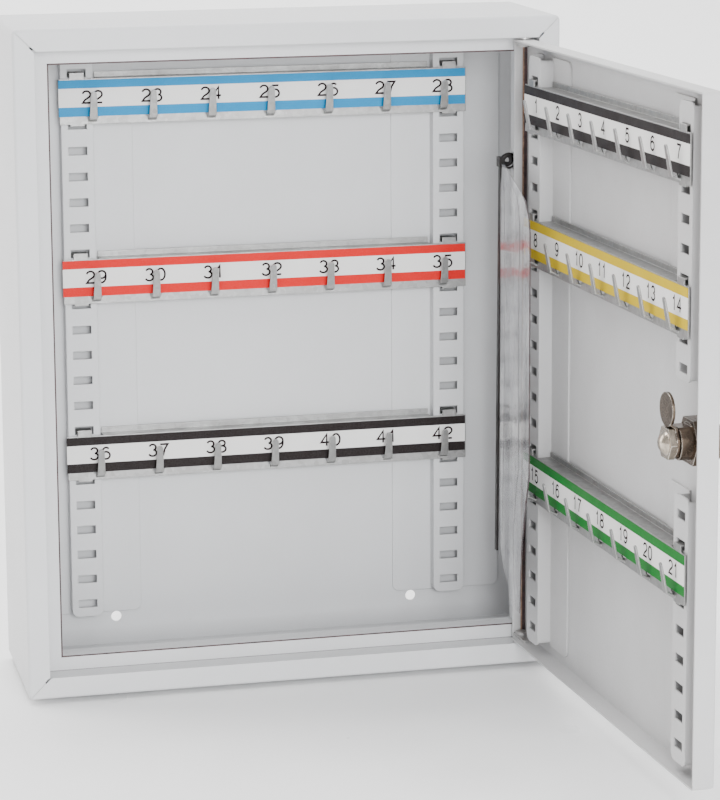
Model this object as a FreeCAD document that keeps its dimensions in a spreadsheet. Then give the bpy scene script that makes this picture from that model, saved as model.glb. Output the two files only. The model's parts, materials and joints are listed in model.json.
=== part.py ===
import FreeCAD, Part
import math
import os

# Wall-mounted key cabinet: folded steel case, inset door on pin hinges, slotted rails and
# clip-in hook strips in the case and on the door, and a cam lock.
# Origin: middle of the four wall holes, on the back face. +X right, +Y into the wall, +Z up.
# The door parts are laid out closed, in the case opening, and then turned open about the hinge.

DIMENSIONS = {
    # case
    "width": 300.0,
    "height": 366.0,
    "depth": 91.0,
    "sheet": 1.0,
    "case_corner_radius": 3.0,
    "case_front_radius": 1.6,
    "front_flange": 11.8,
    "step_depth": 12.5,
    "ledge_side": 20.6,
    "ledge_end": 20.2,
    "return_depth": 11.0,
    "back_return": 9.0,
    "seam_width": 0.5,
    "seam_depth": 0.3,
    "notch_length": 5.0,
    "wall_hole_across": 175.0,
    "wall_hole_updown": 330.0,
    "wall_hole_radius": 3.0,
    # slotted rails
    "rail_spacing": 213.5,
    "case_rail_middle": 1.85,
    "door_rail_middle": -6.0,
    "rail_width": 18.0,
    "rail_rise": 8.5,
    "rail_length": 323.4,
    "rail_corner": 4.0,
    "rail_foot": 23.0,
    "door_rail_length": 327.0,
    "door_rail_foot_in": 26.0,
    "door_rail_foot_edge": 11.0,
    "lock_gap_half": 28.3,
    "slot_width": 10.6,
    "slot_height": 4.6,
    "slot_pitch": 14.5,
    "first_slot": -154.0,
    # hook strips and labels
    "strip_half": 116.6,
    "strip_sheet": 0.8,
    "strip_standoff": 1.0,
    "strip_flange_half": 96.0,
    "strip_flange_depth": 7.2,
    "strip_lip": 3.0,
    "strip_top": 21.0,
    "strip_bottom": -4.4,
    "tab_width": 8.0,
    "tab_reach": 5.2,
    "label_height": 20.4,
    "label_half": 117.1,
    "label_sheet": 0.25,
    "label_below_slot": 24.0,
    "hook_pitch": 33.5,
    "first_hook": -98.3,
    "hook_width": 4.6,
    "hook_tip_radius": 1.6,
    "hook_foot": 3.6,
    "hook_rise": 14.4,
    "hook_lean": 11.0,
    "hook_foot_rise": 27.0,
    "lance_radius": 3.6,
    "lance_height": 16.5,
    # door and hinge
    "door_gap": 1.2,
    "door_hinge_gap": 2.2,
    "door_depth": 11.5,
    "door_hinge_depth": 9.0,
    "door_radius": 1.6,
    "hinge_trim": 6.0,
    "hinge_from_side": 19.2,
    "hinge_from_front": 5.2,
    "door_open": 93.0,
    "pin_radius": 2.0,
    "pin_clearance": 0.05,
    "pin_head": 3.4,
    "hinge_plate": 1.5,
    "washer_radius": 4.4,
    "washer_sheet": 1.0,
    # cam lock
    "lock_from_side": 31.3,
    "barrel_radius": 9.4,
    "barrel_length": 15.8,
    "barrel_head_radius": 11.0,
    "barrel_head": 5.0,
    "plug_radius": 6.5,
    "nut_flats": 22.0,
    "nut_height": 8.0,
    "cam_sheet": 1.5,
    "cam_hub_radius": 8.0,
    "cam_neck": 10.4,
    "cam_head_radius": 8.4,
    "cam_reach": 16.4,
    "cam_crank": 2.8,
    "cam_ramp": 1.9,
    "stud_radius": 3.0,
    "dome_flats": 15.0,
    "dome_height": 6.6,
    "latch_slot_half": 27.0,
    "latch_slot_deep": 5.5,
    # sleeve and cable tie
    "sleeve_film": 1.2,
    "sleeve_turn": 6.8,
    "sleeve_rear_x": 120.0,
    "sleeve_rear_y": -57.0,
    "tie_width": 3.6,
    "tie_sheet": 1.2,
    "tie_hole_up": 101.0,
    "tie_tail": 222.0,
    "tie_ring": 4.0,
    "tie_lean": 1.5,
}

# places that several parts share, as expressions of the dimensions
FRONT = "- depth"
HALF_W = "width / 2"
HALF_H = "height / 2"
OPEN_W = "width / 2 - front_flange"
OPEN_H = "height / 2 - front_flange"
LEDGE_W = "width / 2 - ledge_side"
LEDGE_H = "height / 2 - ledge_end"
LEDGE_Y = "- depth + step_depth"
RETURN_Y = "- depth + step_depth + sheet + return_depth"
LATCH_Y = "- depth + barrel_length + 0.6"
HINGE_X = "width / 2 - hinge_from_side"
HINGE_Y = "hinge_from_front - depth"

CASE_STRIP_SLOTS = {"top": 21, "middle": 14, "bottom": 7}
DOOR_STRIP_SLOTS = {"top": 21, "middle": 16, "bottom": 7}
DOOR_STRIP_PLAY = {"top": (1.0, 0.4), "middle": (0.4, 0.15), "bottom": (0.0, 0.0)}
HOOKS_PER_STRIP = 7
SLOTS_PER_RAIL = 22
SLOT_END_MARGIN = 5.0
CASE_LABELS = {"top": "22_28", "middle": "29_35", "bottom": "36_42"}
DOOR_LABELS = {"top": "1_7", "middle": "8_14", "bottom": "15_21"}

doc = FreeCAD.newDocument("key_cabinet")
nodes = []


def make_sheet():
    sheet = doc.addObject("Spreadsheet::Sheet", "dims")
    for row, (alias, value) in enumerate(DIMENSIONS.items(), start=1):
        sheet.set("A%d" % row, alias.replace("_", " "))
        sheet.set("B%d" % row, str(value))
        sheet.setAlias("B%d" % row, alias)
    return sheet


def number(text):
    """The value of an expression of dimension names, worked out in a spare cell of the sheet."""
    doc.dims.set("C1", "=" + text)
    doc.dims.recompute()
    return float(doc.dims.get("C1"))


def bind(text):
    """Point every dimension name in an expression at the sheet."""
    words = text.replace("(", " ( ").replace(")", " ) ").split()
    bound = " ".join("dims." + word if word in DIMENSIONS else word for word in words)
    for function in ("sin", "cos", "tan", "sqrt"):
        bound = bound.replace(function + " (", function + "(")
    return bound


# ---- primitives -------------------------------------------------------------------------

def box(name, x, y, z):
    """A box between pairs of expressions, low and high, on each axis."""
    obj = doc.addObject("Part::Box", name)
    sides = ("Length", "Width", "Height")
    for side, axis, (low, high) in zip(sides, "xyz", (x, y, z)):
        obj.setExpression(side, bind("( %s ) - ( %s )" % (high, low)))
        obj.setExpression("Placement.Base." + axis, bind(low))
    return obj


def cylinder_y(name, radius, x, y, z):
    """A cylinder along Y between two expressions."""
    obj = doc.addObject("Part::Cylinder", name)
    obj.Placement.Rotation = FreeCAD.Rotation(FreeCAD.Vector(1, 0, 0), -90)
    obj.setExpression("Radius", bind(radius))
    obj.setExpression("Height", bind("( %s ) - ( %s )" % (y[1], y[0])))
    for axis, value in zip("xyz", (x, y[0], z)):
        obj.setExpression("Placement.Base." + axis, bind(value))
    return obj


def cylinder_z(name, radius, x, y, z):
    """A cylinder along Z between two expressions."""
    obj = doc.addObject("Part::Cylinder", name)
    obj.setExpression("Radius", bind(radius))
    obj.setExpression("Height", bind("( %s ) - ( %s )" % (z[1], z[0])))
    for axis, value in zip("xyz", (x, y, z[0])):
        obj.setExpression("Placement.Base." + axis, bind(value))
    return obj


def hexagon_y(name, flats, x, y, z):
    """A hexagonal prism along Y, given its width across flats."""
    obj = doc.addObject("Part::Prism", name)
    obj.Polygon = 6
    obj.Placement.Rotation = FreeCAD.Rotation(FreeCAD.Vector(1, 0, 0), -90)
    obj.setExpression("Circumradius", bind("( %s ) / sqrt ( 3 )" % flats))
    obj.setExpression("Height", bind("( %s ) - ( %s )" % (y[1], y[0])))
    for axis, value in zip("xyz", (x, y[0], z)):
        obj.setExpression("Placement.Base." + axis, bind(value))
    return obj


def fuse(name, shapes):
    obj = doc.addObject("Part::MultiFuse", name)
    obj.Shapes = shapes
    obj.Refine = True
    return obj


def cut(name, base, tools):
    group = doc.addObject("Part::Compound", name + "_tools")
    group.Links = tools
    obj = doc.addObject("Part::Cut", name)
    obj.Base = base
    obj.Tool = group
    obj.Refine = True
    return obj


def common(name, one, other):
    obj = doc.addObject("Part::MultiCommon", name)
    obj.Shapes = [one, other]
    return obj


def fillet(name, base, radius, wanted):
    """Round every edge of base that wanted(edge) picks."""
    doc.recompute()
    size = number(radius)
    picked = [i for i, edge in enumerate(base.Shape.Edges, start=1) if wanted(edge)]
    obj = doc.addObject("Part::Fillet", name)
    obj.Base = base
    obj.Edges = [(i, size, size) for i in picked]
    return obj


def runs_along(edge, axis):
    """True for a straight edge parallel to X (0), Y (1) or Z (2)."""
    if edge.Curve.TypeId != "Part::GeomLine":
        return False
    direction = edge.Curve.Direction
    return abs(abs((direction.x, direction.y, direction.z)[axis]) - 1.0) < 1e-6


def frame_ring(name, half_x, half_z, wall, y):
    """A rectangular tube of sheet along Y: half_x and half_z are its clear inside."""
    outer = box(
        name + "_outer",
        ("- ( %s ) - %s" % (half_x, wall), "%s + %s" % (half_x, wall)),
        y,
        ("- ( %s ) - %s" % (half_z, wall), "%s + %s" % (half_z, wall)),
    )
    inner = box(
        name + "_inner",
        ("- ( %s )" % half_x, half_x),
        (y[0] + " - 1", y[1] + " + 1"),
        ("- ( %s )" % half_z, half_z),
    )
    return cut(name, outer, [inner])


def node(obj, label):
    """Keep an object as one sub-part, exported under its label."""
    obj.Label = label
    nodes.append(obj)
    return obj


def open_with_door(obj):
    """Carry a part of the closed door to the open rest pose, about the hinge axis."""
    axis = FreeCAD.Vector(number(HINGE_X), number(HINGE_Y), 0)
    turn = FreeCAD.Rotation(FreeCAD.Vector(0, 0, 1), number("door_open"))
    obj.Placement = FreeCAD.Placement(FreeCAD.Vector(0, 0, 0), turn, axis).multiply(obj.Placement)
    return obj


# ---- case -------------------------------------------------------------------------------

def case_shell():
    """Four walls and the front flange, folded from one sheet with rounded bends."""
    block = box(
        "case_block",
        ("- " + HALF_W, HALF_W),
        (FRONT, "0"),
        ("- " + HALF_H, HALF_H),
    )
    long_edges = fillet("case_long_edges", block, "case_corner_radius", lambda e: runs_along(e, 1))
    front = -DIMENSIONS["depth"]
    rounded = fillet(
        "case_front_edges",
        long_edges,
        "case_front_radius",
        lambda e: e.BoundBox.YMax < front + 0.01,
    )
    hollow = box(
        "case_hollow",
        ("- width / 2 + sheet", "width / 2 - sheet"),
        ("- depth + sheet", "1"),
        ("- height / 2 + sheet", "height / 2 - sheet"),
    )
    opening = box(
        "case_opening",
        ("- ( %s )" % OPEN_W, OPEN_W),
        ("- depth - 1", "- depth + sheet + 1"),
        ("- ( %s )" % OPEN_H, OPEN_H),
    )
    return cut("case_shell", rounded, [hollow, opening])


def ledge_plate():
    """The door stop behind the opening: a flat ring between the step and the return."""
    plate = box(
        "ledge_plate",
        ("- ( %s ) - sheet" % OPEN_W, "%s + sheet" % OPEN_W),
        (LEDGE_Y, LEDGE_Y + " + sheet"),
        ("- ( %s ) - sheet" % OPEN_H, "%s + sheet" % OPEN_H),
    )
    window = box(
        "ledge_window",
        ("- ( %s )" % LEDGE_W, LEDGE_W),
        (LEDGE_Y + " - 1", LEDGE_Y + " + sheet + 1"),
        ("- ( %s )" % LEDGE_H, LEDGE_H),
    )
    return cut("ledge_ring", plate, [window])


def mitre_cuts():
    """A shallow mitre seam and a relief notch at each corner of the front flange."""
    sizes = {
        "mitre_seam_": ("front_flange * sqrt ( 2 ) + 1", "1 + seam_depth", "seam_width"),
        "corner_notch_": ("notch_length", "sheet + 2", "seam_width * 2"),
    }
    cuts = []
    for side_x in (-1, 1):
        for side_z in (-1, 1):
            tag = "%s_%s" % ("left" if side_x < 0 else "right", "low" if side_z < 0 else "high")
            turn = math.atan2(-side_z, side_x)
            for name, (length, width, height) in sizes.items():
                obj = doc.addObject("Part::Box", name + tag)
                obj.Placement.Rotation = FreeCAD.Rotation(FreeCAD.Vector(0, 1, 0), math.degrees(turn))
                half = "( %s ) / 2" % height
                start_x = "%d * ( %s - 1 ) - %.4f * %s" % (side_x, OPEN_W, math.sin(turn), half)
                start_z = "%d * ( %s - 1 ) - %.4f * %s" % (side_z, OPEN_H, math.cos(turn), half)
                obj.setExpression("Length", bind(length))
                obj.setExpression("Width", bind(width))
                obj.setExpression("Height", bind(height))
                obj.setExpression("Placement.Base.x", bind(start_x))
                obj.setExpression("Placement.Base.y", bind("- depth - 1"))
                obj.setExpression("Placement.Base.z", bind(start_z))
                cuts.append(obj)
    return cuts


def case_frame():
    step = frame_ring("step_ring", OPEN_W, OPEN_H, "sheet", (FRONT, LEDGE_Y + " + sheet"))
    lip = frame_ring("return_ring", LEDGE_W, LEDGE_H, "sheet", (LEDGE_Y, RETURN_Y))
    folded = fuse("case_folded", [case_shell(), step, ledge_plate(), lip])
    latch_slot = box(
        "latch_slot",
        ("- ( %s ) - sheet - 1" % LEDGE_W, "- ( %s ) + 1" % LEDGE_W),
        (LATCH_Y, LATCH_Y + " + latch_slot_deep"),
        ("- latch_slot_half", "latch_slot_half"),
    )
    tie_hole = box(
        "tie_hole",
        ("%s - 1" % LEDGE_W, "%s + sheet + 1" % LEDGE_W),
        ("%s - 5" % RETURN_Y, "%s - 2" % RETURN_Y),
        ("tie_hole_up - tie_ring - 0.6", "tie_hole_up + tie_ring + 0.6"),
    )
    pin_holes = cylinder_z(
        "pin_holes",
        "pin_radius + pin_clearance",
        HINGE_X,
        HINGE_Y,
        ("- ( %s ) - sheet - 0.5" % OPEN_H, "%s + sheet + 0.5" % OPEN_H),
    )
    cuts = [latch_slot, tie_hole, pin_holes] + mitre_cuts()
    return node(cut("case_frame", folded, cuts), "case_frame")


def back_panel():
    plate = box(
        "back_plate",
        ("- width / 2 + sheet", "width / 2 - sheet"),
        ("- sheet", "0"),
        ("- height / 2 + sheet", "height / 2 - sheet"),
    )
    fold = frame_ring(
        "back_fold",
        "width / 2 - 2 * sheet",
        "height / 2 - 2 * sheet",
        "sheet",
        ("- back_return", "0"),
    )
    drills = []
    for i, side_x in enumerate((-1, 1)):
        for j, side_z in enumerate((-1, 1)):
            drills.append(
                cylinder_y(
                    "wall_drill_%d%d" % (i, j),
                    "wall_hole_radius",
                    "%d * wall_hole_across / 2" % side_x,
                    ("- sheet - 1", "1"),
                    "%d * wall_hole_updown / 2" % side_z,
                )
            )
    return node(cut("back_panel", fuse("back_folded", [plate, fold]), drills), "back_panel")


# ---- slotted rails ----------------------------------------------------------------------

def rail(label, x, base_y, rise_sign, z, feet):
    """A hat-section rail with square slots. base_y is the panel face it is welded to, and
    rise_sign is -1 where it stands towards the front and +1 where it stands to the back."""
    low, high = z
    near, far = base_y, "%s + %d * rail_rise" % (base_y, rise_sign)
    outer_y = (far, near) if rise_sign < 0 else (near, far)
    inner_y = (far + " + sheet", near + " + 1") if rise_sign < 0 else (near + " - 1", far + " - sheet")
    foot_y = (near + " - sheet", near) if rise_sign < 0 else (near, near + " + sheet")
    hat = box(label + "_hat", (x + " - rail_width / 2", x + " + rail_width / 2"), outer_y, z)
    hat = fillet(label + "_hat_round", hat, "rail_corner", lambda e: runs_along(e, 1))
    core = box(
        label + "_core",
        (x + " - rail_width / 2 + sheet", x + " + rail_width / 2 - sheet"),
        inner_y,
        (low + " - 1", high + " + 1"),
    )
    feet_box = box(label + "_feet", (x + " - rail_width / 2 - " + feet[0],
                                     x + " + rail_width / 2 + " + feet[1]), foot_y, z)
    feet_box = fillet(label + "_feet_round", feet_box, "rail_corner", lambda e: runs_along(e, 1))
    face_y = (far + " - 1", far + " + sheet + 1") if rise_sign < 0 else (far + " - sheet - 1", far + " + 1")
    slots = []
    for index in range(SLOTS_PER_RAIL):
        centre = "first_slot + %d * slot_pitch" % index
        if not number(low) + SLOT_END_MARGIN < number(centre) < number(high) - SLOT_END_MARGIN:
            continue
        slots.append(box(
            "%s_slot_%d" % (label, index),
            (x + " - slot_width / 2", x + " + slot_width / 2"),
            face_y,
            (centre + " - slot_height / 2", centre + " + slot_height / 2"),
        ))
    body = fuse(label + "_body", [hat, feet_box])
    return node(cut(label, body, [core] + slots), label)


def case_rails():
    for side, sign in (("left", "-"), ("right", "+")):
        rail(
            "rail_" + side,
            "case_rail_middle %s rail_spacing / 2" % sign,
            "- sheet",
            -1,
            ("- rail_length / 2", "rail_length / 2"),
            ("rail_foot", "rail_foot"),
        )


def door_rails():
    """The hinge side has one rail. The lock edge has two, with a gap for the lock."""
    face = "- depth + sheet"
    hinge_x = "door_rail_middle + rail_spacing / 2"
    edge_x = "door_rail_middle - rail_spacing / 2"
    full = ("- door_rail_length / 2", "door_rail_length / 2")
    hinge_feet = ("door_rail_foot_in", "door_rail_foot_edge")
    edge_feet = ("door_rail_foot_edge", "door_rail_foot_in")
    open_with_door(rail("door_rail_hinge", hinge_x, face, 1, full, hinge_feet))
    upper = ("lock_gap_half", full[1])
    lower = (full[0], "- lock_gap_half")
    open_with_door(rail("door_rail_lock_upper", edge_x, face, 1, upper, edge_feet))
    open_with_door(rail("door_rail_lock_lower", edge_x, face, 1, lower, edge_feet))


# ---- hook strips and labels --------------------------------------------------------------
# A strip is laid out with y = 0 on the rail's face, facing -Y, and z = 0 at its label's foot.

STRIP_FRONT = "- strip_standoff - strip_sheet"
HOOK_FOOT_Z = "- lance_radius + 1 - strip_sheet"
HOOK_FRONT = "- strip_standoff - strip_sheet - hook_foot"
HOOK_BASE_Z = HOOK_FOOT_Z + " + ( hook_foot + strip_sheet ) * tan ( hook_foot_rise )"


def hook(name, x):
    """A tongue lanced from the face: a short foot that rises forward, then a tapered upright."""
    foot = doc.addObject("Part::Box", name + "_foot")
    foot.Placement.Rotation = FreeCAD.Rotation(
        FreeCAD.Vector(1, 0, 0), 180 - number("hook_foot_rise")
    )
    foot.setExpression("Length", bind("hook_width"))
    foot.setExpression("Width", bind("( hook_foot + 1.5 * strip_sheet ) / cos ( hook_foot_rise )"))
    foot.setExpression("Height", bind("strip_sheet"))
    foot.setExpression("Placement.Base.x", bind(x + " - hook_width / 2"))
    foot.setExpression("Placement.Base.y", bind("- strip_standoff"))
    foot.setExpression("Placement.Base.z", bind(HOOK_FOOT_Z + " + strip_sheet"))
    upright = doc.addObject("Part::Wedge", name + "_upright")
    limits = {
        "Xmin": "- hook_width / 2", "Xmax": "hook_width / 2",
        "X2min": "- hook_tip_radius", "X2max": "hook_tip_radius",
        "Ymin": "0", "Ymax": "hook_rise",
        "Zmin": "0", "Zmax": "strip_sheet", "Z2min": "0", "Z2max": "strip_sheet",
    }
    for side, value in limits.items():
        upright.setExpression(side, bind(value))
    tip = doc.addObject("Part::Cylinder", name + "_tip")
    tip.setExpression("Radius", bind("hook_tip_radius"))
    tip.setExpression("Height", bind("strip_sheet"))
    lean = FreeCAD.Rotation(FreeCAD.Vector(1, 0, 0), 90 + number("hook_lean"))
    tip_y = HOOK_FRONT + " - sin ( hook_lean ) * hook_rise"
    tip_z = HOOK_BASE_Z + " + cos ( hook_lean ) * hook_rise"
    for obj, y, z in ((upright, HOOK_FRONT, HOOK_BASE_Z), (tip, tip_y, tip_z)):
        obj.Placement.Rotation = lean
        obj.setExpression("Placement.Base.x", bind(x))
        obj.setExpression("Placement.Base.y", bind(y))
        obj.setExpression("Placement.Base.z", bind(z))
    return [foot, upright, tip]


def lance_hole(name, x):
    """The opening that a hook's tongue was cut from, rounded at its foot."""
    through = ("- strip_standoff - 2", "- strip_standoff + 1")
    straight = box(
        name + "_straight",
        (x + " - lance_radius", x + " + lance_radius"),
        through,
        ("1", "lance_height"),
    )
    return [straight, cylinder_y(name + "_round", "lance_radius", x, through, "1")]


def end_tab(name, x, z, turn_down):
    """A tab off the end of the face: through the rail's slot, then down or up behind it."""
    sides = (x + " - tab_width / 2", x + " + tab_width / 2")
    mid_low, mid_high = z + " - strip_sheet / 2", z + " + strip_sheet / 2"
    reach = box(name + "_reach", sides, (STRIP_FRONT, "tab_reach"), (mid_low, mid_high))
    if turn_down:
        stem_z = ("strip_top - strip_sheet", mid_high)
        catch_z = (z + " - 2.4", mid_high)
    else:
        stem_z = (mid_low, "strip_bottom + strip_sheet")
        catch_z = (mid_low, z + " + 2.4")
    stem = box(name + "_stem", sides, (STRIP_FRONT, "- strip_standoff"), stem_z)
    catch = box(name + "_catch", sides, ("tab_reach - strip_sheet", "tab_reach"), catch_z)
    return [reach, stem, catch]


def hook_strip(label):
    face_y = (STRIP_FRONT, "- strip_standoff")
    flange_x = ("- strip_flange_half", "strip_flange_half")
    face = box(label + "_face", ("- strip_half", "strip_half"), face_y, ("strip_bottom", "strip_top"))
    hooks = []
    holes = []
    for index in range(HOOKS_PER_STRIP):
        x = "first_hook + %d * hook_pitch" % index
        hooks += hook("%s_hook_%d" % (label, index), x)
        holes += lance_hole("%s_lance_%d" % (label, index), x)
    pierced = cut(label + "_pierced", face, holes)
    top = box(label + "_top", flange_x, (STRIP_FRONT, "strip_flange_depth"),
              ("strip_top - strip_sheet", "strip_top"))
    lip = box(label + "_lip", flange_x, ("strip_flange_depth - strip_sheet", "strip_flange_depth"),
              ("strip_top - strip_sheet", "strip_top + strip_lip"))
    bottom = box(label + "_bottom", flange_x, (STRIP_FRONT, "2"),
                 ("strip_bottom", "strip_bottom + strip_sheet"))
    tabs = []
    for side in (-1, 1):
        x = "%d * rail_spacing / 2" % side
        tag = "%s_tab_%s" % (label, "left" if side < 0 else "right")
        tabs += end_tab(tag + "_upper", x, "label_below_slot", True)
        tabs += end_tab(tag + "_lower", x, "label_below_slot - 2 * slot_pitch", False)
    return fuse(label, [pierced, top, lip, bottom] + tabs + hooks)


def label_card(label):
    card = doc.addObject("Part::Compound", "card_" + label)
    card.Links = [box(
        "face_" + label,
        ("- label_half", "label_half - 1"),
        (STRIP_FRONT + " - label_sheet", STRIP_FRONT),
        ("0", "label_height"),
    )]
    return card


def place_in_case(obj, slot):
    height = number("first_slot + %d * slot_pitch - label_below_slot" % slot)
    face = number("- sheet - rail_rise")
    base = FreeCAD.Vector(number("case_rail_middle"), face, height)
    obj.Placement = FreeCAD.Placement(base, FreeCAD.Rotation()).multiply(obj.Placement)


def place_on_door(obj, slot, rise, tilt):
    """Hang a strip in a slot of the door rails, with the play its tabs have taken up."""
    height = number("first_slot + %d * slot_pitch - label_below_slot" % slot) + rise
    face = number("- depth + sheet + rail_rise")
    base = FreeCAD.Vector(number("door_rail_middle"), face, height)
    about = FreeCAD.Rotation(FreeCAD.Vector(0, 0, 1), 180)
    about = about.multiply(FreeCAD.Rotation(FreeCAD.Vector(0, 1, 0), -tilt))
    obj.Placement = FreeCAD.Placement(base, about).multiply(obj.Placement)
    open_with_door(obj)


def strips_and_labels():
    for row, slot in CASE_STRIP_SLOTS.items():
        place_in_case(node(hook_strip("case_strip_" + row), "case_strip_" + row), slot)
        label = CASE_LABELS[row]
        place_in_case(node(label_card(label), "label_" + label), slot)
    for row, slot in DOOR_STRIP_SLOTS.items():
        play = DOOR_STRIP_PLAY[row]
        place_on_door(node(hook_strip("door_strip_" + row), "door_strip_" + row), slot, *play)
        label = DOOR_LABELS[row]
        place_on_door(node(label_card(label), "label_" + label), slot, *play)


# ---- door and hinge ----------------------------------------------------------------------

DOOR_LEFT = "- ( width / 2 - front_flange - door_gap )"
DOOR_RIGHT = "width / 2 - front_flange - door_hinge_gap"
DOOR_TOP = "height / 2 - front_flange - door_gap"
LOCK_X = "- width / 2 + lock_from_side"


def door_pan():
    """A pan folded from one sheet. The hinge-side flange is shallower, to swing past the stop."""
    slab = box(
        "door_slab",
        (DOOR_LEFT, DOOR_RIGHT),
        (FRONT, "- depth + door_depth"),
        ("- ( %s )" % DOOR_TOP, DOOR_TOP),
    )
    front = number(FRONT)
    slab = fillet("door_corners", slab, "door_radius", lambda e: runs_along(e, 1))
    slab = fillet("door_front", slab, "door_radius", lambda e: e.BoundBox.YMax < front + 0.01)
    inside = box(
        "door_inside",
        (DOOR_LEFT + " + sheet", DOOR_RIGHT + " - sheet"),
        ("- depth + sheet", "1"),
        ("- ( %s ) + sheet" % DOOR_TOP, "%s - sheet" % DOOR_TOP),
    )
    trim = box(
        "door_hinge_trim",
        (DOOR_RIGHT + " - hinge_trim", DOOR_RIGHT + " + 1"),
        ("- depth + door_hinge_depth", "1"),
        ("- height", "height"),
    )
    pin_hole = cylinder_z("door_pin_hole", "pin_radius", HINGE_X, HINGE_Y, ("- height", "height"))
    lock_hole = cylinder_y(
        "door_lock_hole", "barrel_radius + 0.1", LOCK_X, ("- depth - 1", "- depth + 3"), "0"
    )
    pan = node(cut("door_pan", slab, [inside, trim, pin_hole, lock_hole]), "door_pan")
    return open_with_door(pan)


def hinge_parts():
    """Top and bottom: a pin, the plate that carries it inside the door, and a washer."""
    flange_in = "%s - sheet" % DOOR_TOP
    for name, sign in (("top", 1), ("bottom", -1)):
        def span(low, high):
            if sign > 0:
                return (low, high)
            return ("- ( %s )" % high, "- ( %s )" % low)
        plate = box(
            "plate_block_" + name,
            ("%s - 14" % HINGE_X, DOOR_RIGHT + " - sheet"),
            ("- depth + sheet", "- depth + door_hinge_depth - 0.4"),
            span("%s - hinge_plate" % flange_in, flange_in),
        )
        bore = cylinder_z("plate_bore_" + name, "pin_radius", HINGE_X, HINGE_Y, ("- height", "height"))
        open_with_door(node(cut("plate_" + name, plate, [bore]), "hinge_plate_" + name))
        under = "%s - hinge_plate" % flange_in
        shank = cylinder_z(
            "pin_shank_" + name, "pin_radius", HINGE_X, HINGE_Y,
            span(under, "%s + sheet + 2" % OPEN_H),
        )
        head = cylinder_z(
            "pin_head_" + name, "pin_head", HINGE_X, HINGE_Y, span("%s - 1.6" % under, under)
        )
        open_with_door(node(fuse("pin_" + name, [shank, head]), "hinge_pin_" + name))
        disc = cylinder_z(
            "washer_disc_" + name, "washer_radius", HINGE_X, HINGE_Y,
            span("%s - washer_sheet" % OPEN_H, OPEN_H),
        )
        eye = cylinder_z(
            "washer_eye_" + name, "pin_radius + 0.2", HINGE_X, HINGE_Y, ("- height", "height")
        )
        node(cut("washer_" + name, disc, [eye]), "hinge_washer_" + name)


# ---- cam lock ----------------------------------------------------------------------------
# Along Y: the head stands in front of the door, the barrel runs back through it.

def lock_barrel():
    head = cylinder_y(
        "barrel_head", "barrel_head_radius", LOCK_X, ("- depth - barrel_head", "- depth"), "0"
    )
    front = number("- depth - barrel_head")
    head = fillet("barrel_head_round", head, "sheet", lambda e: e.BoundBox.YMax < front + 0.01)
    body = cylinder_y(
        "barrel_body", "barrel_radius", LOCK_X, (FRONT, "- depth + barrel_length"), "0"
    )
    flats = [
        box(
            "barrel_flat_%d" % i,
            (LOCK_X + " - 12", LOCK_X + " + 12"),
            ("- depth + nut_height + sheet + 0.2", "- depth + barrel_length + 1"),
            z,
        )
        for i, z in enumerate((("8", "12"), ("- 12", "- 8")))
    ]
    bore = cylinder_y(
        "barrel_bore", "plug_radius + 0.1", LOCK_X, ("- depth - 9", "- depth + 25"), "0"
    )
    barrel = node(cut("barrel", fuse("barrel_solid", [head, body]), [bore] + flats), "lock_barrel")
    return open_with_door(barrel)


def lock_nut():
    hexagon = hexagon_y(
        "nut_hex", "nut_flats", LOCK_X, ("- depth + sheet", "- depth + sheet + nut_height"), "0"
    )
    bore = cylinder_y(
        "nut_bore", "barrel_radius + 0.1", LOCK_X, ("- depth", "- depth + 20"), "0"
    )
    return open_with_door(node(cut("nut", hexagon, [bore]), "lock_nut"))


CAM_Y = "- depth + barrel_length + 0.3"


def lock_plug():
    """The key plug: a keyed cylinder, a square for the cam and a threaded stud."""
    core = cylinder_y(
        "plug_core", "plug_radius", LOCK_X, ("- depth - barrel_head - 0.4", CAM_Y), "0"
    )
    square = box(
        "plug_square", (LOCK_X + " - 3", LOCK_X + " + 3"), (CAM_Y, CAM_Y + " + cam_sheet"), ("- 3", "3")
    )
    stud = cylinder_y(
        "plug_stud", "stud_radius", LOCK_X, (CAM_Y, CAM_Y + " + cam_sheet + 4.5"), "0"
    )
    keyway = box(
        "plug_keyway",
        (LOCK_X + " - 0.8", LOCK_X + " + 0.8"),
        ("- depth - barrel_head - 1", "- depth + 4"),
        ("- 4.2", "4.2"),
    )
    plug = node(cut("plug", fuse("plug_solid", [core, square, stud]), [keyway]), "lock_plug")
    return open_with_door(plug)


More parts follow.
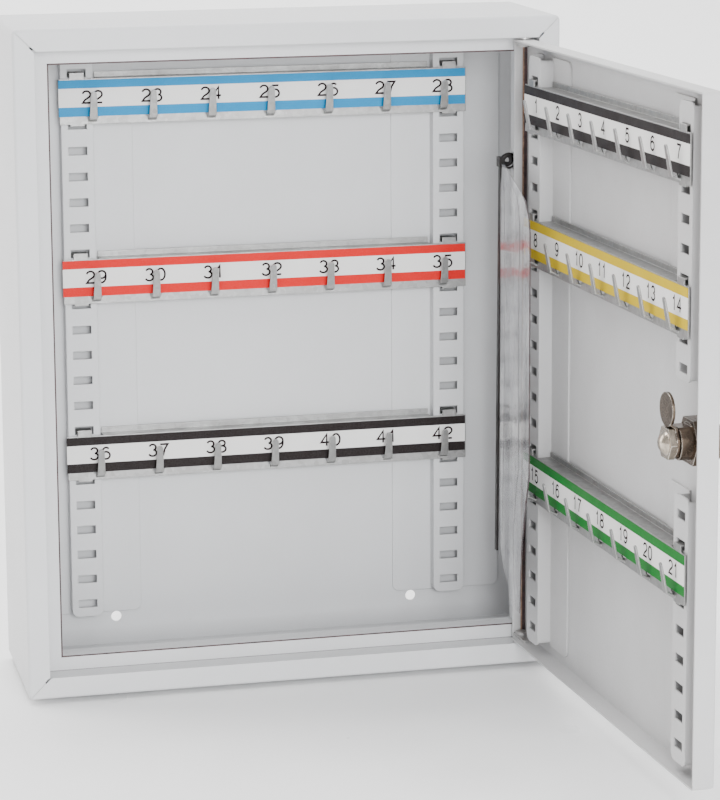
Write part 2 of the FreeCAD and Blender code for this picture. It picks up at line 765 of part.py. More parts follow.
def lock_cam():
    """A cranked paddle that points up when unlocked."""
    low_y = (CAM_Y, CAM_Y + " + cam_sheet")
    high_y = (CAM_Y + " + cam_crank", CAM_Y + " + cam_crank + cam_sheet")
    neck_x = (LOCK_X + " - cam_neck / 2", LOCK_X + " + cam_neck / 2")
    hub = cylinder_y("cam_hub", "cam_hub_radius", LOCK_X, low_y, "0")
    ramp = doc.addObject("Part::Wedge", "cam_ramp")
    limits = {
        "Xmin": "- cam_neck / 2", "Xmax": "cam_neck / 2",
        "X2min": "- cam_neck / 2", "X2max": "cam_neck / 2",
        "Ymin": "0", "Ymax": "cam_ramp",
        "Zmin": "- cam_sheet", "Zmax": "0",
        "Z2min": "- cam_crank - cam_sheet", "Z2max": "- cam_crank",
    }
    for side, value in limits.items():
        ramp.setExpression(side, bind(value))
    ramp.Placement.Rotation = FreeCAD.Rotation(FreeCAD.Vector(1, 0, 0), 90)
    ramp.setExpression("Placement.Base.x", bind(LOCK_X))
    ramp.setExpression("Placement.Base.y", bind(CAM_Y))
    ramp.setExpression("Placement.Base.z", bind("cam_hub_radius - 0.4"))
    neck = box("cam_neck", neck_x, high_y, ("cam_hub_radius - 0.5 + cam_ramp", "cam_reach"))
    start = box("cam_start", neck_x, low_y, ("0", "cam_hub_radius - 0.3"))
    head = cylinder_y("cam_head", "cam_head_radius", LOCK_X, high_y, "cam_reach")
    hole = box("cam_square", (LOCK_X + " - 3.05", LOCK_X + " + 3.05"), (CAM_Y + " - 1", CAM_Y + " + 3"),
               ("- 3.05", "3.05"))
    cam = node(cut("cam", fuse("cam_solid", [hub, start, ramp, neck, head]), [hole]), "lock_cam")
    return open_with_door(cam)


def cam_nut():
    """The domed nut that holds the cam on the plug's stud."""
    base_y = CAM_Y + " + cam_sheet"
    hexagon = hexagon_y("dome_hex", "dome_flats", LOCK_X, (base_y, base_y + " + dome_height / 2"), "0")
    ball = doc.addObject("Part::Sphere", "dome_ball")
    ball.setExpression("Radius", bind("dome_flats / 2 - 0.4"))
    ball.setExpression("Placement.Base.x", bind(LOCK_X))
    ball.setExpression("Placement.Base.y", bind(base_y + " + dome_height - dome_flats / 2 + 0.4"))
    keep = box(
        "dome_keep",
        (LOCK_X + " - 10", LOCK_X + " + 10"),
        (base_y + " + 1", base_y + " + dome_height + 1"),
        ("- 10", "10"),
    )
    bore = cylinder_y("dome_bore", "stud_radius + 0.05", LOCK_X, (base_y + " - 1", base_y + " + 4.7"), "0")
    solid = fuse("dome_solid", [hexagon, common("dome_cap", ball, keep)])
    return open_with_door(node(cut("dome_nut", solid, [bore]), "cam_nut"))


# ---- sleeve and cable tie ----------------------------------------------------------------

# The sleeve's outline in its own plane: distance from its rear edge, and height.
SLEEVE_OUTLINE = [
    (0, -124), (8, -137), (34, -143), (98, -100), (99, -40), (99, 60), (96, 78),
    (84, 90), (60, 97), (16, 103), (4, 100), (0, 84),
]


def sleeve():
    """A thin clear sleeve that hangs by one corner inside the right-hand return."""
    points = [FreeCAD.Vector(0, -along, up) for along, up in SLEEVE_OUTLINE]
    outline = Part.makePolygon(points + points[:1])
    film = Part.Face(outline).extrude(FreeCAD.Vector(number("sleeve_film"), 0, 0))
    obj = doc.addObject("Part::Feature", "sleeve_film_solid")
    obj.Shape = film
    obj.Placement = FreeCAD.Placement(
        FreeCAD.Vector(number("sleeve_rear_x"), number("sleeve_rear_y"), 0),
        FreeCAD.Rotation(FreeCAD.Vector(0, 0, 1), -number("sleeve_turn")),
    )
    return node(obj, "clear_sleeve")


def cable_tie():
    """A closed cable tie: a ring through the return's hole, its head and a long cut tail."""
    ring = doc.addObject("Part::Torus", "tie_ring_loop")
    ring.setExpression("Radius1", bind("tie_ring"))
    ring.setExpression("Radius2", bind("tie_sheet / 2"))
    ring_x = LEDGE_W + " - tie_ring + 1.6"
    ring.Placement.Rotation = FreeCAD.Rotation(FreeCAD.Vector(1, 0, 0), 90)
    ring.setExpression("Placement.Base.x", bind(ring_x))
    ring.setExpression("Placement.Base.y", bind(RETURN_Y + " - 3.5"))
    ring.setExpression("Placement.Base.z", bind("tie_hole_up"))
    head = box(
        "tie_head",
        ("%s - tie_ring - 1.6" % ring_x, "%s - tie_ring + 1.4" % ring_x),
        (RETURN_Y + " - 4.8", RETURN_Y + " + 1.4"),
        ("tie_hole_up - 3.5", "tie_hole_up + 2"),
    )
    strap = doc.addObject("Part::Box", "tie_tail_strap")
    strap.Placement.Rotation = FreeCAD.Rotation(FreeCAD.Vector(1, 0, 0), 180 + number("tie_lean"))
    strap.setExpression("Length", bind("tie_sheet"))
    strap.setExpression("Width", bind("tie_width"))
    strap.setExpression("Height", bind("tie_tail"))
    strap.setExpression("Placement.Base.x", bind("%s - tie_ring - 0.6" % ring_x))
    strap.setExpression("Placement.Base.y", bind(RETURN_Y + " + 1"))
    strap.setExpression("Placement.Base.z", bind("tie_hole_up - 3"))
    return node(fuse("tie", [ring, head, strap]), "cable_tie")


def check(objects):
    """Stop on any failed object, and on any sub-part that isn't sound."""
    for obj in objects:
        if set(obj.State) & {"Invalid", "Error"}:
            raise RuntimeError("failed: " + obj.Name)
    for obj in nodes:
        shape = obj.Shape
        if shape.isNull() or not shape.isValid() or not shape.Solids:
            raise RuntimeError("unsound: " + obj.Label)


def main():
    make_sheet()
    doc.recompute()
    case_frame()
    back_panel()
    case_rails()
    door_pan()
    door_rails()
    strips_and_labels()
    hinge_parts()
    lock_barrel()
    lock_nut()
    lock_plug()
    lock_cam()
    cam_nut()
    sleeve()
    cable_tie()
    doc.recompute()
    check(doc.Objects)
    os.makedirs("parts", exist_ok=True)
    for obj in nodes:
        obj.Shape.exportStep("parts/%s.step" % obj.Label)
        print(obj.Label, len(obj.Shape.Solids), round(obj.Shape.Volume, 1))


main()
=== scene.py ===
import json
import math

import bmesh
import bpy
from mathutils import Matrix, Vector


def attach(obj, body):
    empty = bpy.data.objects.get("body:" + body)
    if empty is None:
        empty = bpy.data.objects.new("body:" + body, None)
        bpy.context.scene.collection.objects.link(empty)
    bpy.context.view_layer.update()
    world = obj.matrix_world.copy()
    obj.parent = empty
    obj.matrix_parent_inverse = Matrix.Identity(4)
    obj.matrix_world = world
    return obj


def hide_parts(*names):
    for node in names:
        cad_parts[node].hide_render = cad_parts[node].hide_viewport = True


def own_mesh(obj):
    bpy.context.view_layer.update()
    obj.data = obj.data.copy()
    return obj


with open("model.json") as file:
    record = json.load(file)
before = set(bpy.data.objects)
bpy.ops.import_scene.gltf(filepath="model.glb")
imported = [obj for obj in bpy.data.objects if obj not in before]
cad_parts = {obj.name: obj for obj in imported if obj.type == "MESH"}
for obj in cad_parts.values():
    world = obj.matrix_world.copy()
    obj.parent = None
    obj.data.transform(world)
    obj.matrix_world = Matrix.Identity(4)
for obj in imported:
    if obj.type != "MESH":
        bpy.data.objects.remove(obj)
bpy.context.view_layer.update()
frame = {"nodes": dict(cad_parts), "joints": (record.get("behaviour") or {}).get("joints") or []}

NODES = frame["nodes"]
MM = 0.001


# ---- node helpers -----------------------------------------------------------------------

def new_material(name):
    material = bpy.data.materials.new(name)
    material.use_nodes = True
    tree = material.node_tree
    tree.nodes.clear()
    out = tree.nodes.new("ShaderNodeOutputMaterial")
    shader = tree.nodes.new("ShaderNodeBsdfPrincipled")
    tree.links.new(shader.outputs[0], out.inputs["Surface"])
    return material, tree, shader


def add(tree, kind, links=None, **values):
    """A node with its inputs set by name or number, and its properties by name."""
    made = tree.nodes.new(kind)
    for key, value in values.items():
        if hasattr(made, key):
            setattr(made, key, value)
        else:
            made.inputs[key.replace("_", " ")].default_value = value
    for key, source in (links or {}).items():
        tree.links.new(source, made.inputs[key])
    return made


def math_node(tree, operation, first, second=0.0, clamp=False):
    made = tree.nodes.new("ShaderNodeMath")
    made.operation = operation
    made.use_clamp = clamp
    for index, value in enumerate((first, second)):
        if isinstance(value, (int, float)):
            made.inputs[index].default_value = value
        else:
            tree.links.new(value, made.inputs[index])
    return made.outputs[0]


def mix(tree, factor, first, second):
    made = tree.nodes.new("ShaderNodeMix")
    made.data_type = "RGBA"
    for index, value in ((0, factor), (6, first), (7, second)):
        if isinstance(value, (int, float, tuple)):
            made.inputs[index].default_value = value
        else:
            tree.links.new(value, made.inputs[index])
    return made.outputs[2]


def ramp(tree, source, stops):
    made = tree.nodes.new("ShaderNodeValToRGB")
    elements = made.color_ramp.elements
    while len(elements) < len(stops):
        elements.new(0.5)
    for element, (place, value) in zip(elements, stops):
        element.position = place
        element.color = value if isinstance(value, tuple) else (value, value, value, 1)
    tree.links.new(source, made.inputs[0])
    return made.outputs[0]


def noise(tree, coords, scale, detail=3.0, rough=0.5):
    made = add(tree, "ShaderNodeTexNoise", Scale=scale, Detail=detail, Roughness=rough)
    tree.links.new(coords, made.inputs["Vector"])
    return made.outputs[0]


def stretched(tree, coords, scale):
    made = tree.nodes.new("ShaderNodeMapping")
    made.inputs["Scale"].default_value = scale
    tree.links.new(coords, made.inputs["Vector"])
    return made.outputs[0]


def bump(tree, shader, height, strength, distance, under=None):
    made = add(tree, "ShaderNodeBump", Strength=strength, Distance=distance)
    tree.links.new(height, made.inputs["Height"])
    if under is not None:
        tree.links.new(under, made.inputs["Normal"])
    tree.links.new(made.outputs[0], shader.inputs["Normal"])
    return made.outputs[0]


def object_coords(tree):
    return tree.nodes.new("ShaderNodeTexCoord").outputs["Object"]


def edge_wear(tree, radius):
    """Wear, 1 on sharp outer edges and 0 on flats, and the normal of the rounded edges."""
    bevel = tree.nodes.new("ShaderNodeBevel")
    bevel.samples = 4
    bevel.inputs["Radius"].default_value = radius
    geometry = tree.nodes.new("ShaderNodeNewGeometry")
    dot = tree.nodes.new("ShaderNodeVectorMath")
    dot.operation = "DOT_PRODUCT"
    tree.links.new(bevel.outputs[0], dot.inputs[0])
    tree.links.new(geometry.outputs["Normal"], dot.inputs[1])
    lost = math_node(tree, "SUBTRACT", 1.0, dot.outputs["Value"])
    return math_node(tree, "MULTIPLY", lost, 3.0, clamp=True), bevel.outputs[0]


# ---- materials --------------------------------------------------------------------------

def paint(name, light, dark, grain=1.0):
    """Powder coat: fine orange peel, faint blotches, dust and a rounded look on folded edges."""
    material, tree, shader = new_material(name)
    coords = object_coords(tree)
    wear, soft_normal = edge_wear(tree, 0.0007)
    blotch = ramp(tree, noise(tree, coords, 9.0, 4.0, 0.6), [(0.32, 0.0), (0.7, 1.0)])
    speck = ramp(tree, noise(tree, coords, 900.0, 2.0, 0.7), [(0.36, 0.0), (0.62, 1.0)])
    colour = mix(tree, blotch, dark, light)
    colour = mix(tree, math_node(tree, "MULTIPLY", speck, 0.10), colour, (0.48, 0.48, 0.47, 1))
    dust = ramp(tree, noise(tree, coords, 150.0, 5.0, 0.75), [(0.66, 0.0), (0.76, 1.0)])
    colour = mix(tree, math_node(tree, "MULTIPLY", dust, 0.16), colour, (0.33, 0.31, 0.30, 1))
    colour = mix(tree, math_node(tree, "MULTIPLY", wear, 0.30), colour, (0.80, 0.80, 0.79, 1))
    tree.links.new(colour, shader.inputs["Base Color"])
    rough = math_node(tree, "ADD", math_node(tree, "MULTIPLY", speck, 0.14), 0.36)
    tree.links.new(rough, shader.inputs["Roughness"])
    peel = noise(tree, coords, 620.0, 2.0, 0.5)
    wave = noise(tree, coords, 28.0, 2.0, 0.5)
    under = bump(tree, shader, wave, 0.12 * grain, 0.0012, soft_normal)
    bump(tree, shader, peel, 0.20 * grain, 0.00014, under)
    shader.inputs["IOR"].default_value = 1.46
    return material


def galvanised(name, base=0.52, tint=(1.0, 1.0, 0.99)):
    """Dull zinc sheet: spangle, drawn streaks along the strip, smudges and bright cut edges."""
    material, tree, shader = new_material(name)
    coords = object_coords(tree)
    wear, soft_normal = edge_wear(tree, 0.00045)
    spangle = add(tree, "ShaderNodeTexVoronoi", Scale=420.0, Randomness=1.0)
    tree.links.new(coords, spangle.inputs["Vector"])
    grey = ramp(tree, spangle.outputs["Color"], [(0.0, base * 0.80), (1.0, base * 1.10)])
    smudge = ramp(tree, noise(tree, coords, 70.0, 5.0, 0.7), [(0.40, 0.0), (0.68, 1.0)])
    streak = noise(tree, stretched(tree, coords, (40.0, 40.0, 1400.0)), 1.0, 3.0, 0.6)
    colour = mix(tree, math_node(tree, "MULTIPLY", smudge, 0.38), grey, (0.27, 0.26, 0.25, 1))
    colour = mix(tree, math_node(tree, "MULTIPLY", wear, 0.75), colour, (0.86, 0.86, 0.84, 1))
    toned = mix(tree, 1.0, colour, (tint[0], tint[1], tint[2], 1))
    toned.node.blend_type = "MULTIPLY"
    tree.links.new(toned, shader.inputs["Base Color"])
    shader.inputs["Metallic"].default_value = 0.85
    rough = math_node(tree, "ADD", math_node(tree, "MULTIPLY", smudge, 0.16), 0.36)
    tree.links.new(rough, shader.inputs["Roughness"])
    under = bump(tree, shader, streak, 0.14, 0.0002, soft_normal)
    bump(tree, shader, noise(tree, coords, 320.0, 3.0, 0.6), 0.22, 0.00022, under)
    return material


def nickel(name, base, smoothest):
    """Plated turned parts: tarnish in blotches, fine scratches, bright rubbed edges."""
    material, tree, shader = new_material(name)
    coords = object_coords(tree)
    wear, soft_normal = edge_wear(tree, 0.0006)
    tarnish = ramp(tree, noise(tree, coords, 130.0, 5.0, 0.65), [(0.35, 0.0), (0.66, 1.0)])
    colour = mix(tree, tarnish, base, tuple(v * 0.40 for v in base[:3]) + (1,))
    colour = mix(tree, math_node(tree, "MULTIPLY", wear, 0.8), colour, (0.80, 0.76, 0.70, 1))
    tree.links.new(colour, shader.inputs["Base Color"])
    shader.inputs["Metallic"].default_value = 1.0
    rough = math_node(tree, "ADD", math_node(tree, "MULTIPLY", tarnish, 0.18), smoothest)
    tree.links.new(rough, shader.inputs["Roughness"])
    scratch = noise(tree, stretched(tree, coords, (300.0, 2600.0, 2600.0)), 1.0, 2.0, 0.6)
    bump(tree, shader, scratch, 0.18, 0.00012, soft_normal)
    return material


# Where the white band of a printed card starts and stops above the card's foot, in metres.
BAND_FOOT = 0.0053
BAND_TOP = 0.0158


def label(name, colour, white, foot, slope, middle, run):
    """Printed card: a colour band above and below a white one, measured up from its foot.

    The foot rises by slope for each metre along the run axis, counted from middle.
    """
    material, tree, shader = new_material(name)
    coords = object_coords(tree)
    split = add(tree, "ShaderNodeSeparateXYZ", {0: coords})
    along = math_node(tree, "SUBTRACT", split.outputs[run], middle)
    rise = math_node(tree, "MULTIPLY", along, slope)
    level = math_node(tree, "SUBTRACT", split.outputs["Z"], rise)
    height = math_node(tree, "SUBTRACT", level, foot)
    fray = math_node(tree, "MULTIPLY", noise(tree, coords, 700.0, 2.0, 0.6), 0.00012)
    height = math_node(tree, "ADD", height, fray)
    above = math_node(tree, "GREATER_THAN", height, BAND_FOOT)
    below = math_node(tree, "LESS_THAN", height, BAND_TOP)
    band = math_node(tree, "MULTIPLY", above, below)
    blotch = ramp(tree, noise(tree, coords, 60.0, 4.0, 0.6), [(0.3, 0.0), (0.75, 1.0)])
    darker = tuple(v * 0.7 for v in colour[:3]) + (1,)
    ink = mix(tree, math_node(tree, "MULTIPLY", blotch, 0.14), colour, darker)
    card = mix(tree, math_node(tree, "MULTIPLY", blotch, 0.10), white, (0.62, 0.60, 0.57, 1))
    dots = ramp(tree, noise(tree, coords, 2200.0, 1.0, 0.5), [(0.3, 0.0), (0.7, 1.0)])
    face = mix(tree, band, ink, card)
    face = mix(tree, math_node(tree, "MULTIPLY", dots, 0.03), face, (0.4, 0.4, 0.4, 1))
    tree.links.new(face, shader.inputs["Base Color"])
    rough = math_node(tree, "ADD", math_node(tree, "MULTIPLY", blotch, 0.14), 0.42)
    tree.links.new(rough, shader.inputs["Roughness"])
    shader.inputs["IOR"].default_value = 1.22
    bump(tree, shader, noise(tree, coords, 90.0, 3.0, 0.5), 0.16, 0.0005)
    return material


def ink_material():
    """Black print, a little patchy where it took badly."""
    material, tree, shader = new_material("printed_ink")
    coords = object_coords(tree)
    patchy = ramp(tree, noise(tree, coords, 1500.0, 3.0, 0.7), [(0.35, 0.0), (0.7, 1.0)])
    colour = mix(tree, patchy, (0.006, 0.002, 0.003, 1), (0.022, 0.010, 0.012, 1))
    tree.links.new(colour, shader.inputs["Base Color"])
    rough = math_node(tree, "ADD", math_node(tree, "MULTIPLY", patchy, 0.2), 0.50)
    tree.links.new(rough, shader.inputs["Roughness"])
    shader.inputs["IOR"].default_value = 1.2
    bump(tree, shader, patchy, 0.1, 0.00005)
    return material


def nylon_material():
    """Black cable-tie nylon with a faint haze."""
    material, tree, shader = new_material("black_nylon")
    coords = object_coords(tree)
    haze = ramp(tree, noise(tree, coords, 220.0, 4.0, 0.6), [(0.35, 0.0), (0.7, 1.0)])
    colour = mix(tree, haze, (0.005, 0.004, 0.004, 1), (0.022, 0.017, 0.016, 1))
    tree.links.new(colour, shader.inputs["Base Color"])
    rough = math_node(tree, "ADD", math_node(tree, "MULTIPLY", haze, 0.2), 0.34)
    tree.links.new(rough, shader.inputs["Roughness"])
    shader.inputs["IOR"].default_value = 1.35
    bump(tree, shader, noise(tree, coords, 900.0, 2.0, 0.5), 0.2, 0.0001)
    return material


def film_material():
    """Creased clear polythene: see-through face on and shiny at a slant, with a painted highlight
    along the creases and small dark mottles.
    """
    material, tree, shader = new_material("clear_film")
    coords = object_coords(tree)
    crease = noise(tree, stretched(tree, coords, (60.0, 75.0, 16.0)), 1.0, 6.0, 0.66)
    fine = noise(tree, coords, 170.0, 5.0, 0.7)
    # Painted highlight: along the creases the film turns pale and less see-through, for the sheen
    # on them; fine noise adds small dark mottles.
    crease_highlight = ramp(tree, crease, [(0.44, 0.0), (0.66, 1.0)])
    mottles = ramp(tree, fine, [(0.54, 0.0), (0.62, 1.0)])
    colour = mix(tree, crease_highlight, (0.30, 0.30, 0.32, 1), (0.92, 0.92, 0.93, 1))
    colour = mix(tree, math_node(tree, "MULTIPLY", mottles, 0.6), colour, (0.12, 0.12, 0.14, 1))
    tree.links.new(colour, shader.inputs["Base Color"])
    cover = math_node(tree, "ADD", math_node(tree, "MULTIPLY", crease_highlight, 0.20), 0.34)
    cover = math_node(tree, "ADD", cover, math_node(tree, "MULTIPLY", mottles, 0.26), clamp=True)
    tree.links.new(cover, shader.inputs["Alpha"])
    rough = math_node(tree, "ADD", math_node(tree, "MULTIPLY", fine, 0.12), 0.05)
    tree.links.new(rough, shader.inputs["Roughness"])
    shader.inputs["IOR"].default_value = 1.6
    shader.inputs["Coat Weight"].default_value = 0.8
    shader.inputs["Coat Roughness"].default_value = 0.06
    under = bump(tree, shader, crease, 0.35, 0.0016)
    bump(tree, shader, fine, 0.20, 0.0002, under)
    return material


def seam_material(name, dark, light):
    """Thin lines of painted shade in dark gaps, along edges and in folds: patchy, dry and a
    little stained.
    """
    material, tree, shader = new_material(name)
    coords = object_coords(tree)
    stain = ramp(tree, noise(tree, coords, 260.0, 4.0, 0.7), [(0.35, 0.0), (0.7, 1.0)])
    tree.links.new(mix(tree, stain, dark, light), shader.inputs["Base Color"])
    rough = math_node(tree, "ADD", math_node(tree, "MULTIPLY", stain, 0.3), 0.45)
    tree.links.new(rough, shader.inputs["Roughness"])
    bump(tree, shader, stain, 0.3, 0.0001)
    return material


CASE_PAINT = paint("case_paint", (0.60, 0.605, 0.615, 1), (0.56, 0.562, 0.572, 1))
# A darker copy of the case paint on the whole door: painted shade for the door's open inner face,
# which gets less light.
SHADED_DOOR_PAINT = paint("door_paint_shaded", (0.56, 0.558, 0.562, 1), (0.475, 0.468, 0.468, 1), 1.3)
ZINC = galvanised("galvanised_strip", 0.31)
HINGE_ZINC = galvanised("hinge_zinc", 0.50, (1.0, 0.985, 0.97))
NICKEL = nickel("lock_nickel", (0.19, 0.145, 0.11, 1), 0.18)
BRIGHT = nickel("bright_nickel", (0.62, 0.54, 0.44, 1), 0.10)
INK = ink_material()
NYLON = nylon_material()
FILM = film_material()
# Painted shade: near-black for the gaps round the ledge, by the door's hinge side and at the
# bag's far edge, brown beside the hinge gap, and grey in folds.
GAP_SHADE = seam_material("dark_gap_shade", (0.020, 0.010, 0.011, 1), (0.085, 0.040, 0.042, 1))
BROWN_GAP_SHADE = seam_material("brown_gap_shade", (0.16, 0.085, 0.055, 1), (0.36, 0.24, 0.17, 1))
FOLD_SHADE = seam_material("fold_shade", (0.10, 0.09, 0.09, 1), (0.20, 0.19, 0.19, 1))


def give(node, material):
    """Puts one material on a CAD piece."""
    mesh = NODES[node].data
    mesh.materials.clear()
    mesh.materials.append(material)


for node in NODES:
    if node in ("case_frame", "back_panel", "rail_left", "rail_right"):
        give(node, CASE_PAINT)
    elif node.startswith(("door_pan", "door_rail")):
        give(node, SHADED_DOOR_PAINT)
    elif "strip" in node:
        give(node, ZINC)
    elif node.startswith("hinge"):
        give(node, HINGE_ZINC)
    elif node in ("lock_cam", "lock_nut", "lock_barrel"):
        give(node, NICKEL)
    elif node in ("cam_nut", "lock_plug"):
        give(node, BRIGHT)
    elif node == "cable_tie":
        give(node, NYLON)
    elif node == "clear_sleeve":
        give(node, FILM)


# ---- labels and numbers -----------------------------------------------------------------

# The door stands open at rest: this turns a place on the shut door to where it is now.
HINGE = next(j for j in frame["joints"] if j["name"] == "door_hinge")
PIVOT = Vector(HINGE["pos_m"])
OPEN = math.radians(-HINGE["range_deg"][0])
TURN = Matrix.Rotation(OPEN, 4, "Z")
DOOR_TURN = Matrix.Translation(PIVOT) @ TURN @ Matrix.Translation(-PIVOT)

WHITE = (0.79, 0.78, 0.765, 1)
BLACK = (0.010, 0.006, 0.006, 1)
BLUE = (0.0, 0.22, 0.47, 1)
RED = (0.62, 0.006, 0.006, 1)
YELLOW = (0.57, 0.40, 0.0, 1)
GREEN = (0.0, 0.155, 0.015, 1)
# Along a strip from its middle, in mm.
HOOK_PITCH = 33.5
FIRST_HOOK = -98.3
HOOKS = 7
# The middle between the rails and the face of them, in the case and on the shut door, in mm.
CASE_RAILS = (1.85, -9.5)
DOOR_RAILS = (-6.0, -81.5)
# First number, label node, body, colour, foot height and rise in mm, tilt in degrees.
ROWS = [
    (22, "label_22_28", "case", BLUE, 126.5, 0.0, 0.0),
    (29, "label_29_35", "case", RED, 25.0, 0.0, 0.0),
    (36, "label_36_42", "case", BLACK, -76.5, 0.0, 0.0),
    (1, "label_1_7", "door", BLACK, 126.5, 1.0, 0.4),
    (8, "label_8_14", "door", YELLOW, 54.0, 0.4, 0.15),
    (15, "label_15_21", "door", GREEN, -76.5, 0.0, 0.0),
]


def strip_matrix(body, foot, rise, tilt):
    """From a strip's own frame, in mm, with its labelled face towards -Y, to the part's frame.

    A strip's own frame starts at its label's foot, midway along it, on the face of the rails.
    """
    if body == "case":
        return Matrix.Translation(Vector((*CASE_RAILS, foot)) * MM) @ Matrix.Scale(MM, 4)
    about = Matrix.Rotation(math.pi, 4, "Z") @ Matrix.Rotation(math.radians(-tilt), 4, "Y")
    place = Matrix.Translation(Vector((*DOOR_RAILS, foot + rise)) * MM)
    closed = place @ about @ Matrix.Scale(MM, 4)
    return DOOR_TURN @ closed


def mesh_object(name, verts, faces, material, smooth=False):
    """A new object in the scene from points in metres and faces."""
    mesh = bpy.data.meshes.new(name)
    mesh.from_pydata(verts, [], faces)
    mesh.materials.append(material)
    if smooth:
        for polygon in mesh.polygons:
            polygon.use_smooth = True
    obj = bpy.data.objects.new(name, mesh)
    bpy.context.scene.collection.objects.link(obj)
    return obj


def arc(middle, radii, start, end, steps=14):
    """Points along part of an ellipse, angles in degrees."""
    points = []
    for step in range(steps + 1):
        t = math.radians(start + (end - start) * step / steps)
        points.append((middle[0] + radii[0] * math.cos(t), middle[1] + radii[1] * math.sin(t)))
    return points


# Stroke centre lines of the figures, in mm from the lower left corner of a 5.6 by 7.4 cell.
FIGURES = {
    "0": [arc((2.8, 3.7), (2.3, 3.3), 90, 450, 28)],
    "1": [[(1.3, 5.5), (2.3, 5.9), (3.1, 7.1), (3.1, 0.2)]],
    "2": [
        arc((2.8, 5.1), (2.2, 1.95), 165, -20)
        + [(4.3, 3.7), (2.0, 2.2), (0.7, 0.5), (5.1, 0.5)]
    ],
    "3": [arc((2.7, 5.35), (1.9, 1.7), 160, -80), arc((2.7, 2.15), (2.25, 1.85), 80, -160)],
    "4": [[(3.8, 0.2), (3.8, 7.0), (0.5, 2.3), (5.2, 2.3)]],
    "5": [[(4.7, 6.9), (1.4, 6.9), (0.9, 3.7)] + arc((2.7, 2.5), (2.3, 2.2), 135, -155)],
    "6": [arc((3.0, 3.6), (2.4, 3.3), 50, 180) + arc((2.9, 2.35), (2.25, 2.1), 180, 540, 26)],
    "7": [[(0.6, 6.9), (5.0, 6.9), (3.2, 4.0), (2.2, 0.2)]],
    "8": [arc((2.8, 5.4), (1.85, 1.6), 90, 450, 22), arc((2.8, 2.1), (2.3, 1.85), 90, 450, 24)],
    "9": [arc((2.6, 3.8), (2.4, 3.3), 230, 360) + arc((2.7, 5.05), (2.25, 2.1), 0, 360, 26)],
}
# Half a stroke's width, from one figure to the next and the space between two figures, in mm.
HALF_STROKE = 0.53
FIGURE_PITCH = 6.5
FIGURE_SPACE = 0.9
# In a strip's own frame: just proud of the card, and the foot of the figures, in mm.
PRINT_FACE = -2.075
PRINT_FOOT = 7.05
# The least cosine at a bend that a stroke is widened for, so that sharp bends don't spike.
SHARPEST = 0.45


def ribbon(points, half):
    """A strip of the given half width along a line of points, as left and right edges."""
    edges = []
    for index, here in enumerate(points):
        before = Vector(points[max(index - 1, 0)])
        after = Vector(points[min(index + 1, len(points) - 1)])
        onward = (after - Vector(here)).normalized()
        first = (Vector(here) - before).normalized() if index else onward
        last = onward if index < len(points) - 1 else first
        way = (first + last).normalized()
        reach = half / max(way.dot(first), SHARPEST)
        side = Vector((-way.y, way.x)) * reach
        edges.append((Vector(here) + side, Vector(here) - side))
    return edges


def numeral(value, x, matrix):
    """The mesh of a printed number, centred on its hook."""
    figures = str(value)
    start = x - (len(figures) * FIGURE_PITCH - FIGURE_SPACE) / 2
    mesh = bpy.data.meshes.new("numeral_%d" % value)
    verts, faces = [], []
    for place, figure in enumerate(figures):
        for line in FIGURES[figure]:
            base = len(verts)
            for pair in ribbon(line, HALF_STROKE):
                for point in pair:
                    along = start + place * FIGURE_PITCH + point.x
                    verts.append(matrix @ Vector((along, PRINT_FACE, PRINT_FOOT + point.y)))
            steps = (len(verts) - base) // 2 - 1
            faces += [[base + 2 * k + n for n in (0, 1, 3, 2)] for k in range(steps)]
    mesh.from_pydata(verts, [], faces)
    return mesh


def join(name, meshes, material):
    """One object from several meshes, which are removed."""
    joined = bmesh.new()
    for mesh in meshes:
        joined.from_mesh(mesh)
        bpy.data.meshes.remove(mesh)
    mesh = bpy.data.meshes.new(name)
    joined.to_mesh(mesh)
    joined.free()
    mesh.materials.append(material)
    obj = bpy.data.objects.new(name, mesh)
    bpy.context.scene.collection.objects.link(obj)
    return obj


for first, node, body, colour, foot, rise, tilt in ROWS:
    matrix = strip_matrix(body, foot, rise, tilt)
    # The open door's strips run along Y, and the ones in the case along X.
    base = matrix @ Vector((0, 0, 0))
    end = matrix @ Vector((100, 0, 0))
    run = "X" if body == "case" else "Y"
    index = 0 if body == "case" else 1
    slope = (end.z - base.z) / (end[index] - base[index])
    give(node, label("print_" + node, colour, WHITE, base.z, slope, base[index], run))
    numbers = [numeral(first + k, FIRST_HOOK + k * HOOK_PITCH, matrix) for k in range(HOOKS)]
    printed = join("numerals_%d_%d" % (first, first + HOOKS - 1), numbers, INK)
    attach(printed, body)


# ---- painted shade lines ----------------------------------------------------------------

BAR_DEPTH = 0.02
# The ledge's inner edge and the fold round its outside, as half sizes in mm.
LEDGE_EDGE = (129.4, 162.8)
STEP_FOLD = (137.85, 170.85)
# Just in front of the recessed ledge, and of the open door's hinge-side flange, in mm.
LEDGE_FACE = -78.53
HINGE_SIDE_FACE = -81.93
DOOR_HALF_HEIGHT = 168.0
# Corners of the six faces of a bar, as line_strip numbers them.
BAR_FACES = [(0, 1, 2, 3), (7, 6, 5, 4), (0, 4, 5, 1), (1, 5, 6, 2), (2, 6, 7, 3), (3, 7, 4, 0)]


def line_strip(start, end, width, across):
    """Corners of a thin flat bar between two points, in mm, widened along one direction."""
    side = Vector(across) * width
    corners = [Vector(start), Vector(end), Vector(end) + side, Vector(start) + side]
    back = [corner + Vector((0, BAR_DEPTH, 0)) for corner in corners]
    return [corner * MM for corner in corners + back]


def lines(name, strips, material, body):
    """Several thin bars as one piece that rides a body."""
    verts = [corner for strip in strips for corner in strip]
    faces = [[8 * k + n for n in face] for k in range(len(strips)) for face in BAR_FACES]
    obj = mesh_object(name, verts, faces, material)
    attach(obj, body)


